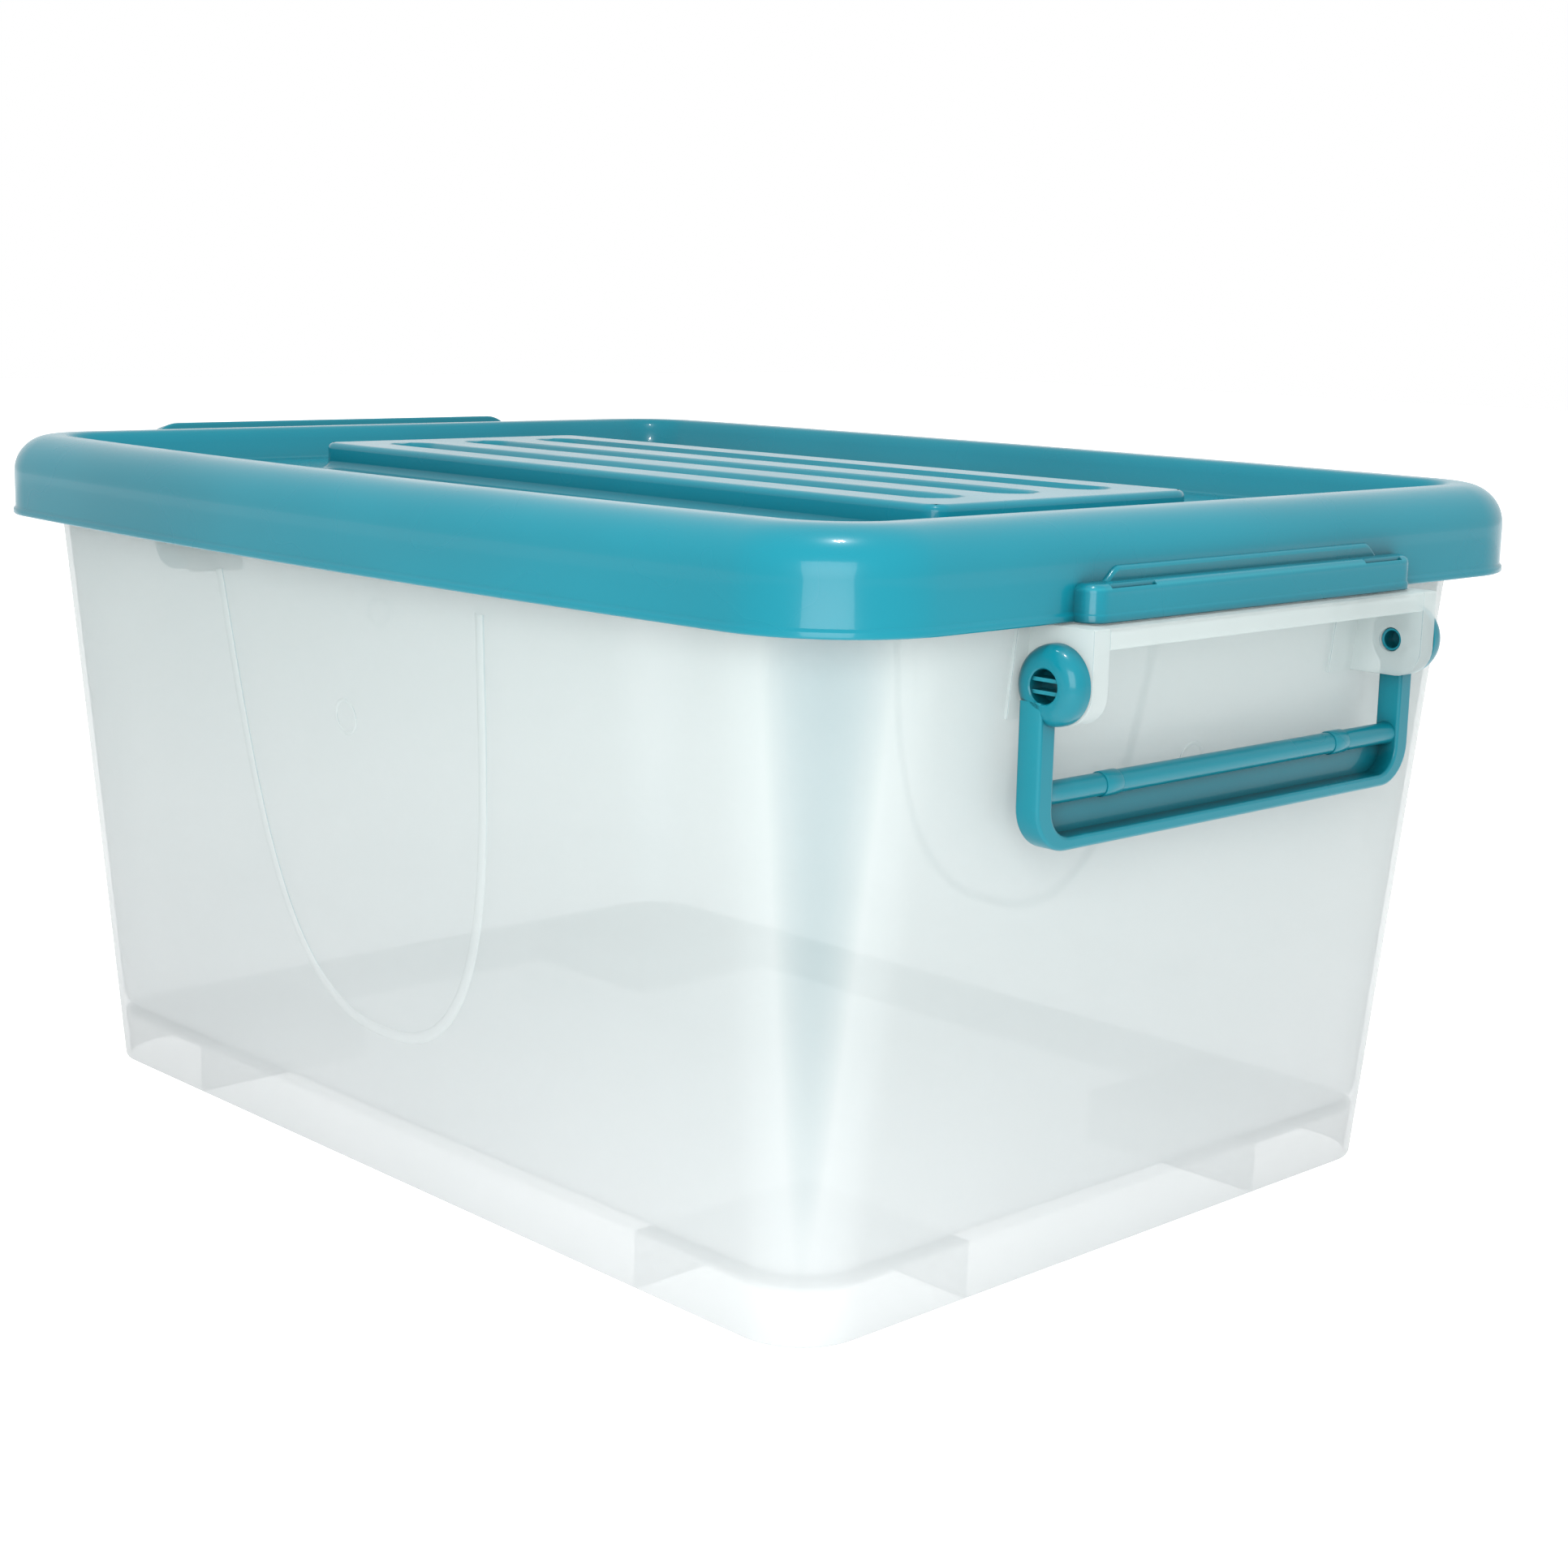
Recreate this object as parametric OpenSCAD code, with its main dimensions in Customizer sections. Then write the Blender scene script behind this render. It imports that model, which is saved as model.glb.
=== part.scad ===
// Storage box with a clip-on lid: a tapered, see-through tub, a lid with a hollow
// raised rim, and two swinging end handles that also latch the lid down.
// Frame: +X towards the front handle, +Z up, origin on the ground under the middle of the tub.

/* [Overall] */
// Length of the lid along its bottom edge
lid_l = 600; // [480:5:760]
// Width of the lid along its bottom edge, at the ends of the box
lid_w = 440; // [360:5:560]
// Height of the closed box, up to the lid's rim
box_h = 310; // [230:1:400]
// How far the long sides bow outwards at their middle
side_bow = 12; // [0:1:16]
// How far the short sides bow outwards at their middle
end_bow = 1.5; // [0:0.5:3]

/* [Tub] */
// How much shorter the tub is at its foot than at the lid's edge
taper_l = 60; // [20:2:90]
// How much narrower the tub is at its foot than at the lid's edge
taper_w = 38; // [16:2:70]
// Gap from the lid's outer edge to the tub's wall
lid_overhang = 15; // [12:0.5:18]
// Wall thickness of the tub
wall = 2.4; // [1.8:0.1:3.2]
// Height of the floor's top above the ground
floor_h = 26; // [18:1:40]
// Corner radius of the tub at its foot
foot_r = 29; // [22:1:40]
// Corner radius of the tub under the lid
tub_r = 58; // [40:1:62]
// Side of each square corner foot
foot_w = 94; // [60:1:110]
// Thickness of the feet's walls
foot_wall = 2.4; // [1.8:0.1:4]

/* [Lid] */
// Thickness of the lid
lid_wall = 2.2; // [1.6:0.1:3]
// Height of the lid's skirt and rim together
skirt_h = 37.5; // [30:0.5:44]
// Corner radius of the lid
lid_r = 50; // [42:1:64]
// Radius of the rim's rounded outer top edge
rim_round = 17.5; // [12:0.5:20]
// Gap from the tub's wall to the rim's inner wall, at the corners
rim_gap = 1.3; // [0.8:0.1:8]
// Depth of the tray inside the rim
tray_depth = 16; // [10:0.5:22]
// Length of the raised platform
platform_l = 424; // [300:2:440]
// Width of the raised platform
platform_w = 160; // [120:2:240]
// How far the platform stops below the rim
platform_drop = 3.5; // [0:0.5:6]
// Number of long grooves in the platform
groove_count = 3; // [1:1:3]
// Length of each groove
groove_l = 380; // [200:2:396]
// Width of each groove
groove_w = 25; // [12:1:30]
// Depth of each groove
groove_depth = 4.5; // [2:0.5:6]

/* [Latch lugs] */
// Width of the lug on each end of the lid
lug_w = 202; // [150:2:204]
// How far the lug stands out from the lid's end
lug_out = 10.2; // [8:0.2:11]
// Height of the lug above the lid's bottom edge
lug_h = 13.9; // [10:0.1:16]
// How much narrower than the lug the ridge is that stops the raised handle
ridge_less = 28; // [20:2:60]

/* [Handles] */
// Gap from the lug's side to the handle's arm
arm_gap = 8.5; // [4:0.5:20]
// Distance of the pivot below the lid's edge
pivot_drop = 21.7; // [20:0.1:26]
// Distance of the pivot out from the end of the lid
pivot_out = 1.7; // [1:0.1:3]
// Gap from the latched handle's collars to the lug's top
latch_gap = 0.3; // [0.3:0.1:1]
// Height of the grip, from the middle of its rod to its far edge
grip_h = 21; // [18:0.5:32]
// Radius of the round grip rod
rod_r = 4.4; // [3:0.1:4.6]
// Width of each arm
arm_w = 8.5; // [6:0.5:12]
// Depth of the arms, front to back
arm_t = 11; // [9:0.5:12]
// Radius of the round boss at each pivot
boss_r = 15; // [12:0.5:16]
// Radius of each pivot pin
pin_r = 4.92; // [3.5:0.02:6]
// Gap from the stored rear handle to the lug, as the lid lifts past it
lift_gap = 0.35; // [0.3:0.05:3]

/* [Hidden] */
$fn = 64;

tub_colour = [0.86, 0.91, 0.92, 0.55];
teal = [0.16, 0.66, 0.74];

// Heights and overall lengths worked out from the sizes above
edge_z = box_h - skirt_h;
tub_l = lid_l - 2 * lid_overhang;
tub_w = lid_w - 2 * lid_overhang;
foot_l0 = tub_l - taper_l;
foot_w0 = tub_w - taper_w;
slope_l = taper_l / 2 / edge_z;
slope_w = taper_w / 2 / edge_z;
tray_z = box_h - tray_depth;

// How far joined shapes reach into each other, and cutting shapes run past an edge
reach = 1;
skin_bite = 0.1;

// The lid's section: bottom lip, skirt, rounded rim and sloping inner wall
lip_out = 1;
lip_h = 3;
lip_ease = 0.8;
skirt_inset = lip_out + lid_wall;
rim_in = rim_round - lid_wall;
rim_centre_z = box_h - rim_round;
rim_ease = 2.5;
tray_run = 7;
tray_ease = 1.5;

// The tub's wall rises inside the hollow rim until it meets the rounded underside
seat_gap = 0.3;
wall_inset_l = lid_overhang - slope_l * skirt_h;
wall_inset_w = lid_overhang - slope_w * skirt_h;
seat_run = lip_out + rim_round - min(wall_inset_l, wall_inset_w);
tub_h = rim_centre_z + sqrt(rim_in * rim_in - seat_run * seat_run) - seat_gap;

// The rim is wide enough to cover the tub's wall at its rounded corners
top_inset_l = lid_overhang - slope_l * (tub_h - edge_z);
top_inset_w = lid_overhang - slope_w * (tub_h - edge_z);
top_r = foot_r + (tub_r - foot_r) * tub_h / edge_z;
corner_inset = (sqrt(2) - 1) * (top_r - lid_r) + (top_inset_l + top_inset_w) / sqrt(2);
land = max(corner_inset, top_inset_l, top_inset_w) + wall + rim_gap - 0.8 * rim_ease;
wall_in = land + tray_run;

// Flange, floor and feet of the tub
flange_z = edge_z + 10.5;
flange_t = 2.4;
flange_gap = 1.2;
rim_soft = 0.7;
fillet_r = 8;
floor_t = 2.4;
foot_plate = 5;

// Pivot of the handles, in the plane of the front one, and the handles' width over their arms
pivot_x = lid_l / 2 + pivot_out;
pivot_z = edge_z - pivot_drop;
pin_gap = 0.08;
handle_w = lug_w + 2 * (arm_gap + arm_w);

// Ears that carry the pins, the ledge between them and the pads on the wall
ear_t = 9;
boss_t = 9;
ear_gap = 0.5;
ear_out = handle_w / 2 - boss_t - ear_gap;
ear_in = ear_out - ear_t;
ear_x = pivot_x + 14.8;
ear_z = pivot_z - 14.7;
ear_round = 12;
pin_recess = 1;
ledge_z = edge_z - 0.7;
ledge_t = 2.4;
ledge_lip = 7.9;
pad_in = ear_in - 15.5;
pad_out = ear_out + 7;
pad_t = 1.5;

// Handle section: the rod, its collars, the web behind it and the lip around it
rod_x = -arm_t / 2 - 0.5;
collar_r = rod_r + 0.5;
collar_w = 9.5;
collar_y = lug_w / 2 - 28.5;
rod_reach = pivot_drop + lug_h + collar_r + latch_gap;
handle_reach = rod_reach + grip_h;
web_t = 2.5;
lip_t = 5;
handle_corner = 17;
channel_corner = 11;
bore_r = 6.4;
bore_depth = 7;
rib_t = 1.4;
rib_gap = 4.6;
rib_drop = 1.5;
boss_soft = 6.5;

// Lug, its notches for the collars and the ridge that stops the raised rod
lug_round = 2.5;
lug_corner = 7;
lug_lip = 0.5;
lug_x = lid_l / 2 - lip_out - lid_wall / 2 + end_bow / 2;
lug_under = 14;
lug_top = edge_z + lug_h;
notch_w = 25;
notch_y = collar_y + 6.5;
notch_d = 1.6;
ridge_gap = 0.8;
ridge_root = 3;
ridge_w = lug_w - ridge_less;
ridge_x = pivot_x - rod_x - collar_r - ridge_gap;
ridge_top = pivot_z + rod_reach;

// The stored rear handle leans out until its collars clear the lug's lip
rod_swing = norm([rod_x, rod_reach]);
lug_clear = lug_out + lug_lip + lift_gap + collar_r - pivot_out;
rear_lean = asin(lug_clear / rod_swing) - atan2(-rod_x, rod_reach);

// Platform in the lid's tray
platform_r = 9;
platform_top = box_h - platform_drop;
groove_pitch = platform_w / (groove_count + 0.45);

// One ring of points: a rounded rectangle whose sides bow outwards
arc_steps = 7;
side_steps = 8;
function bow(u) = 1 - u * u;
function corner(l, w, r, sx, sy, a0) = [for (i = [0:arc_steps])
    let (a = a0 + 90 * i / arc_steps)
    [sx * (l / 2 - r) + r * cos(a), sy * (w / 2 - r) + r * sin(a)]];
function between(p, q) = [for (i = [1:side_steps - 1]) p + (q - p) * i / side_steps];
function outline(l, w, r) = let (
    a = corner(l, w, r, 1, -1, -90),
    b = corner(l, w, r, 1, 1, 0),
    c = corner(l, w, r, -1, 1, 90),
    d = corner(l, w, r, -1, -1, 180))
    concat(a, between(a[arc_steps], b[0]), b, between(b[arc_steps], c[0]),
           c, between(c[arc_steps], d[0]), d, between(d[arc_steps], a[0]));
function bowed(p, l, w, bow_w, bow_l) = [
    p.x * (1 + 2 * bow_l / l * bow(min(1, abs(2 * p.y / w)))),
    p.y * (1 + 2 * bow_w / w * bow(min(1, abs(2 * p.x / l))))];
function ring(l, w, r, z, share) = [for (p = outline(l, w, max(r, 1)))
    let (q = bowed(p, l, w, side_bow * share, end_bow * share))
    [q.x, q.y, z]];
ring_n = 4 * (arc_steps + 1) + 4 * (side_steps - 1);

// The lid's and the tub's rings, at a distance in from their outer faces
function lid_ring(inset, z) = ring(lid_l - 2 * inset, lid_w - 2 * inset, lid_r - inset, z, 1);
function tub_ring(inset, z) = ring(foot_l0 + 2 * slope_l * z - 2 * inset,
    foot_w0 + 2 * slope_w * z - 2 * inset,
    foot_r + (tub_r - foot_r) * z / edge_z - inset, z, z / tub_h);
function wall_x(z, y) = foot_l0 / 2 + slope_l * z + end_bow * z / tub_h * bow(2 * y / tub_w);

// A closed skin through a list of rings, the first facing up and the last facing down
module loft(rings) {
    last = len(rings) - 1;
    points = [for (r = rings) for (p = r) p];
    top = [for (j = [0:ring_n - 1]) ring_n - 1 - j];
    bottom = [for (j = [0:ring_n - 1]) last * ring_n + j];
    sides = [for (i = [0:last - 1]) for (j = [0:ring_n - 1]) for (half = [0, 1])
        let (k = (j + 1) % ring_n, a = i * ring_n + j, b = i * ring_n + k,
             c = (i + 1) * ring_n + k, d = (i + 1) * ring_n + j)
        half == 0 ? [a, b, c] : [a, c, d]];
    polyhedron(points = points, faces = concat([top], sides, [bottom]));
}

// Rounded plates drawn with true arcs
module round_plate(l, w, r, h) {
    linear_extrude(h) {
        square([l - 2 * r, w], center = true);
        square([l, w - 2 * r], center = true);
        for (sx = [-1, 1], sy = [-1, 1])
            translate([sx * (l / 2 - r), sy * (w / 2 - r)]) circle(r);
    }
}

// Both ends of the box, the rear one turned half round
module both_ends() {
    for (a = [0, 180]) rotate([0, 0, a]) children();
}

// ---- Tub ----

// The tapered shell: floor, fillet, wall, rim, flange and open skirt under the floor
module tub_shell() {
    fillet = [for (a = [0:22.5:90])
        tub_ring(wall + fillet_r * (1 - sin(a)), floor_h + fillet_r * (1 - cos(a)))];
    flange_w = lid_overhang - slope_l * (flange_z - edge_z) - skirt_inset - flange_gap;
    loft(concat(fillet, [
        tub_ring(wall, tub_h - rim_soft),
        tub_ring(wall - rim_soft, tub_h),
        tub_ring(rim_soft, tub_h),
        tub_ring(0, tub_h - rim_soft),
        tub_ring(0, flange_z + flange_t),
        tub_ring(-flange_w, flange_z + flange_t),
        tub_ring(-flange_w, flange_z),
        tub_ring(0, flange_z),
        tub_ring(0, 0),
        tub_ring(wall, 0),
        tub_ring(wall, floor_h - floor_t)]));
}

// Square hollow feet: two walls and a thicker floor in each corner of the skirt
module feet() {
    reach_x = foot_l0 / 2 - skin_bite;
    reach_y = foot_w0 / 2 - skin_bite;
    foot_x = foot_l0 / 2 - foot_w;
    foot_y = foot_w0 / 2 - foot_w;
    plate_z = floor_h - foot_plate;
    plate_l = foot_l0 + 2 * slope_l * plate_z - wall;
    plate_w = foot_w0 + 2 * slope_w * plate_z - wall;
    for (side = [0, 1], end = [0, 1]) mirror([0, side, 0]) mirror([end, 0, 0]) {
        translate([foot_x, foot_y, 0]) cube([foot_wall, reach_y - foot_y, floor_h - reach]);
        translate([foot_x, foot_y, 0]) cube([reach_x - foot_x, foot_wall, floor_h - reach]);
        intersection() {
            translate([0, 0, plate_z]) round_plate(plate_l, plate_w, foot_r, foot_plate - reach / 2);
            translate([foot_x, foot_y, plate_z]) cube([foot_w + wall, foot_w + wall, foot_plate]);
        }
    }
}

// Side view of one ear: square at the top, rounded at its lower outer corner
module ear_outline() {
    inner = wall / 2;
    polygon([
        [wall_x(ear_z, ear_out) - inner, ear_z],
        [ear_x - ear_round, ear_z],
        [ear_x - ear_round, ledge_z],
        [wall_x(ledge_z, ear_out) - inner, ledge_z]]);
    translate([ear_x - ear_round, ear_z + ear_round]) circle(ear_round);
    translate([ear_x - ear_round, ear_z + ear_round])
        square([ear_round, ledge_z - ear_z - ear_round]);
}

// Slanted pad that thickens the wall where an ear joins it
module pad_outline() {
    polygon([
        [wall_x(ear_z, pad_out) - wall / 2, ear_z],
        [wall_x(ear_z, pad_out) + pad_t, ear_z],
        [wall_x(ledge_z, pad_out) + pad_t, ledge_z],
        [wall_x(ledge_z, pad_out) - wall / 2, ledge_z]]);
}

// A side view drawn in X and Z, given a width along Y from y0 to y1
module across(y0, y1) {
    translate([0, y1, 0]) rotate([90, 0, 0]) linear_extrude(y1 - y0) children();
}

// Ledge with a front lip between two ears
module bracket() {
    start = wall_x(ledge_z - ledge_t, ear_out) - wall / 2;
    translate([start, -ear_out, ledge_z - ledge_t]) cube([ear_x - start, 2 * ear_out, ledge_t]);
    translate([ear_x - ledge_t, -ear_out, ledge_z - ledge_lip])
        cube([ledge_t, 2 * ear_out, ledge_lip]);
    for (side = [0, 1]) mirror([0, side, 0]) {
        across(ear_in, ear_out) ear_outline();
        across(pad_in, pad_out) pad_outline();
    }
}

// Holes for the handle's pins, right through both ears
module pin_holes() {
    translate([pivot_x, ear_out + reach, pivot_z]) rotate([90, 0, 0])
        cylinder(r = pin_r + pin_gap, h = 2 * (ear_out + reach));
}

module tub() {
    color(tub_colour) difference() {
        union() {
            tub_shell();
            feet();
            both_ends() bracket();
        }
        both_ends() pin_holes();
    }
}

// ---- Lid ----

// The lid's skin: tray floor, rim, skirt and small bottom lip, with one thickness all over
module lid_shell() {
    round_inset = lip_out + rim_round;
    arc_out = [for (a = [90:-15:0])
        lid_ring(round_inset - rim_round * cos(a), rim_centre_z + rim_round * sin(a))];
    arc_in = [for (a = [0:15:90])
        lid_ring(round_inset - rim_in * cos(a), rim_centre_z + rim_in * sin(a))];
    loft(concat([
        lid_ring(wall_in + tray_ease, tray_z),
        lid_ring(wall_in, tray_z + tray_ease),
        lid_ring(land + 1.6 * rim_ease, box_h - 1.4 * rim_ease),
        lid_ring(land + rim_ease, box_h - 0.4 * rim_ease),
        lid_ring(land, box_h)],
        arc_out, [
        lid_ring(lip_out, edge_z + lip_h),
        lid_ring(0, edge_z + lip_h - lip_ease),
        lid_ring(0, edge_z),
        lid_ring(lid_wall, edge_z),
        lid_ring(skirt_inset, edge_z + lip_h)],
        arc_in, [
        lid_ring(land, box_h - lid_wall),
        lid_ring(land + 0.5 * rim_ease, box_h - lid_wall - 0.3 * rim_ease),
        lid_ring(land + 0.8 * rim_ease, box_h - 1.8 * rim_ease),
        lid_ring(wall_in - lid_wall, tray_z),
        lid_ring(wall_in + tray_ease / 2, tray_z - lid_wall)]));
}

// Raised platform in the tray, and the hollow under it
module platform() {
    translate([0, 0, tray_z - lid_wall])
        round_plate(platform_l, platform_w, platform_r, platform_top - tray_z + lid_wall);
}
module platform_hollow() {
    translate([0, 0, tray_z - lid_wall - reach])
        round_plate(platform_l - 2 * lid_wall, platform_w - 2 * lid_wall,
            platform_r - lid_wall, platform_top - tray_z + reach);
}

// Long round-ended grooves, grown all round by a wall's thickness where they show below
module grooves(grow) {
    for (i = [0:groove_count - 1])
        translate([0, (i - (groove_count - 1) / 2) * groove_pitch,
                   platform_top - groove_depth - grow])
            round_plate(groove_l + 2 * grow, groove_w + 2 * grow,
                groove_w / 2 + grow - skin_bite, groove_depth + grow + reach);
}

// One lug, from under the rim outwards: three stacked outlines make its rounded top edge
module lug_block(grow) {
    front = lid_l / 2 + lug_out + grow;
    half = lug_w / 2 + grow;
    top = lug_top + min(grow, 0);
    hull() for (step = [[0, lug_round], [lug_round * 0.3, lug_round * 0.3], [lug_round, 0]])
        translate([0, 0, edge_z - reach]) linear_extrude(top - step[1] - edge_z + reach) {
            for (s = [-1, 1])
                translate([front - step[0] - lug_corner, s * (half - step[0] - lug_corner)])
                    circle(lug_corner, $fn = 32);
            translate([lid_l / 2 - lug_under, step[0] - half])
                square([reach, 2 * half - 2 * step[0]]);
        }
}

// Lug, the small lip along its foot and the ridge on top, from the skirt outwards
module lug_outside() {
    intersection() {
        union() {
            lug_block(0);
            intersection() {
                lug_block(lug_lip);
                translate([0, -lid_w / 2, edge_z]) cube([lid_l, lid_w, lip_h]);
            }
            translate([lug_x, -ridge_w / 2, lug_top - ridge_root])
                cube([ridge_x - lug_x, ridge_w, ridge_top - lug_top + ridge_root]);
        }
        translate([lug_x, -lid_w / 2, edge_z]) cube([lid_l, lid_w, skirt_h]);
    }
}

// The lug's hollow, open below like the skirt and open to the hollow of the rim
module lug_inside() {
    lug_block(-lid_wall);
}

// Shallow notches in the lug's top front edge, where the handle's collars pass
module notches() {
    for (s = [-1, 1])
        translate([lid_l / 2 + lug_out - notch_d, s * notch_y - notch_w / 2, lug_top - notch_d])
            cube([2 * notch_d, notch_w, 2 * notch_d]);
}

module lid() {
    color(teal) difference() {
        union() {
            difference() {
                union() {
                    lid_shell();
                    platform();
                }
                difference() {
                    platform_hollow();
                    grooves(lid_wall);
                }
            }
            both_ends() lug_outside();
        }
        grooves(0);
        both_ends() lug_inside();
        both_ends() notches();
    }
}

// ---- Handles, drawn about the pivot with the grip hanging down ----

// Outline of the handle's frame seen from the end of the box
module frame_outline(inset, corner) {
    w = handle_w - 2 * inset;
    low = -handle_reach + (inset > 0 ? lip_t : 0);
    translate([-w / 2, low + corner]) square([w, -low - corner]);
    translate([-w / 2 + corner, low]) square([w - 2 * corner, corner + reach]);
    for (s = [-1, 1]) translate([s * (w / 2 - corner), low + corner]) circle(corner);
}

// An outline in Y and Z, given a depth along X from x0 to x1
module deep(x0, x1) {
    translate([x0, 0, 0]) rotate([90, 0, 90]) linear_extrude(x1 - x0) children();
}

// Grip: arms, lip, the thin web behind, the rod with its collars and the strip that joins it
module grip() {
    rod_l = handle_w - 2 * arm_w + 2 * reach;
    deep(-arm_t, 0) difference() {
        frame_outline(0, handle_corner);
        frame_outline(arm_w, channel_corner);
    }
    deep(-arm_t, -arm_t + web_t) difference() {
        frame_outline(0, handle_corner);
        translate([-handle_w / 2, -rod_reach]) square([handle_w, rod_reach + reach]);
    }
    translate([rod_x, rod_l / 2, -rod_reach]) rotate([90, 0, 0]) cylinder(r = rod_r, h = rod_l);
    translate([-arm_t, -rod_l / 2, -rod_reach - web_t / 2]) cube([arm_t + rod_x, rod_l, web_t]);
    for (s = [-1, 1]) translate([rod_x, s * collar_y + collar_w / 2, -rod_reach])
        rotate([90, 0, 0]) cylinder(r = collar_r, h = collar_w);
}

// Boss with a rounded outer rim, drawn along +Z from its inner face
module boss() {
    rotate_extrude() {
        square([boss_r, boss_t - boss_soft]);
        square([boss_r - boss_soft, boss_t]);
        intersection() {
            translate([boss_r - boss_soft, boss_t - boss_soft]) circle(boss_soft);
            square([boss_r, boss_t]);
        }
    }
    translate([0, 0, -ear_gap - ear_t + pin_recess])
        cylinder(r = pin_r, h = ear_gap + ear_t - pin_recess + reach);
}

// Coring hole in the boss's outer face, crossed by two ribs
module boss_bore() {
    difference() {
        translate([0, 0, boss_t - bore_depth]) cylinder(r = bore_r, h = bore_depth + reach);
        for (s = [-1, 1]) translate([s * rib_gap / 2 - rib_t / 2, -boss_r, 0])
            cube([rib_t, 2 * boss_r, boss_t - rib_drop]);
    }
}

module handle() {
    difference() {
        union() {
            grip();
            for (side = [0, 1]) mirror([0, side, 0])
                translate([0, ear_out + ear_gap, 0]) rotate([-90, 0, 0]) boss();
        }
        for (side = [0, 1]) mirror([0, side, 0])
            translate([0, ear_out + ear_gap, 0]) rotate([-90, 0, 0]) rotate([0, 0, 90]) boss_bore();
    }
}

module front_handle() {
    color(teal) translate([pivot_x, 0, pivot_z]) handle();
}

// The rear handle is stored swung up, leaning just clear of the lid's lug
module rear_handle() {
    color(teal) rotate([0, 0, 180]) translate([pivot_x, 0, pivot_z])
        rotate([0, -180 + rear_lean, 0]) handle();
}

tub();
lid();
front_handle();
rear_handle();
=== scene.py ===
import math

import bmesh
import bpy
from mathutils import Matrix, Vector


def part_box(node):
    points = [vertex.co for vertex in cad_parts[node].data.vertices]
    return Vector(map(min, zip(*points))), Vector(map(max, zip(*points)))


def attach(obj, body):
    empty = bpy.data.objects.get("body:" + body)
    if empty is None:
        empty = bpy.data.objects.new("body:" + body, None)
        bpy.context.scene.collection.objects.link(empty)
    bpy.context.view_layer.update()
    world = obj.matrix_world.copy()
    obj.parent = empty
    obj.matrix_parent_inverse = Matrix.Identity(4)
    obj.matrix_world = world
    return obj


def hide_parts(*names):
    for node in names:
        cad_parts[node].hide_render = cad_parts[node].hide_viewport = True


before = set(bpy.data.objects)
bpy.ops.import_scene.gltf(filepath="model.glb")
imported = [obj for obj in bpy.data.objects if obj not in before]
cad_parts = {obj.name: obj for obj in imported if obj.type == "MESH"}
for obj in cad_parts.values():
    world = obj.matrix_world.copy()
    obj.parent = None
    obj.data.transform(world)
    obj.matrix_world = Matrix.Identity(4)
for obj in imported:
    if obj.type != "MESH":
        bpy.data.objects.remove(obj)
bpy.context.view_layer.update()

# Driving sizes in metres, the same as the CAD part's
MM = 0.001
LID_L, LID_W, BOX_H = 600 * MM, 440 * MM, 310 * MM
SIDE_BOW, END_BOW = 12 * MM, 1.5 * MM
TAPER_L, TAPER_W = 60 * MM, 38 * MM
OVERHANG = 15 * MM
WALL, FLOOR_H = 2.4 * MM, 26 * MM
FOOT_R, TUB_R = 29 * MM, 58 * MM
FOOT_SIDE = 94 * MM
LID_WALL, SKIRT_H = 2.2 * MM, 37.5 * MM
LID_R, RIM_R, RIM_LAND = 50 * MM, 17.5 * MM, 5 * MM
TRAY_DEPTH = 16 * MM
PLATFORM_L, PLATFORM_W, PLATFORM_DROP = 424 * MM, 160 * MM, 3.5 * MM
PLATFORM_R, SHARP_R = 9 * MM, 0.5 * MM
GROOVE_PITCH = PLATFORM_W / 3.45
GROOVE_L, GROOVE_W, GROOVE_DEPTH = 380 * MM, 25 * MM, 4.5 * MM
LUG_W, LUG_OUT, LUG_H, RIDGE_W = 202 * MM, 10.2 * MM, 13.9 * MM, 174 * MM
HANDLE_W, HANDLE_REACH, ROD_REACH = 236 * MM, 61.8 * MM, 40.8 * MM
ROD_R, COLLAR_R = 4.4 * MM, 4.9 * MM
ARM_W, ARM_T, BOSS_R, PIN_R = 8.5 * MM, 11 * MM, 15 * MM, 4.92 * MM
REAR_LEAN = 11.85

# Places worked out from them
EDGE_Z = BOX_H - SKIRT_H
FOOT_L = LID_L - 2 * OVERHANG - TAPER_L
FOOT_W = LID_W - 2 * OVERHANG - TAPER_W
SLOPE_L = TAPER_L / 2 / EDGE_Z
SLOPE_W = TAPER_W / 2 / EDGE_Z
TUB_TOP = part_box("tub")[1].z
TRAY_Z = BOX_H - TRAY_DEPTH
PLATFORM_TOP = BOX_H - PLATFORM_DROP
PIVOT_X = LID_L / 2 + 1.7 * MM
PIVOT_Z = EDGE_Z - 21.7 * MM
EAR_T, BOSS_T, EAR_GAP = 9 * MM, 9 * MM, 0.5 * MM
EAR_OUT = HANDLE_W / 2 - BOSS_T - EAR_GAP
EAR_IN = EAR_OUT - EAR_T
EAR_X = PIVOT_X + 14.8 * MM
EAR_Z = PIVOT_Z - 14.7 * MM
LEDGE_Z = EDGE_Z - 0.7 * MM
LUG_TOP = EDGE_Z + LUG_H
ROD_X = -ARM_T / 2 - 0.5 * MM
RIDGE_X = PIVOT_X - ROD_X - COLLAR_R - 0.8 * MM
RIDGE_TOP = PIVOT_Z + ROD_REACH

NOTCH_Y, NOTCH_W, NOTCH_D = 79 * MM, 25 * MM, 1.6 * MM

ARC = 18
SIDE = 24


# ---------- Outlines and skins ----------

def arc_points(cx, cy, radius, start, steps=ARC):
    """A quarter circle of points, counter-clockwise from the start angle in degrees."""
    angles = [math.radians(start + 90 * i / steps) for i in range(steps + 1)]
    return [(cx + radius * math.cos(a), cy + radius * math.sin(a)) for a in angles]


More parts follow.
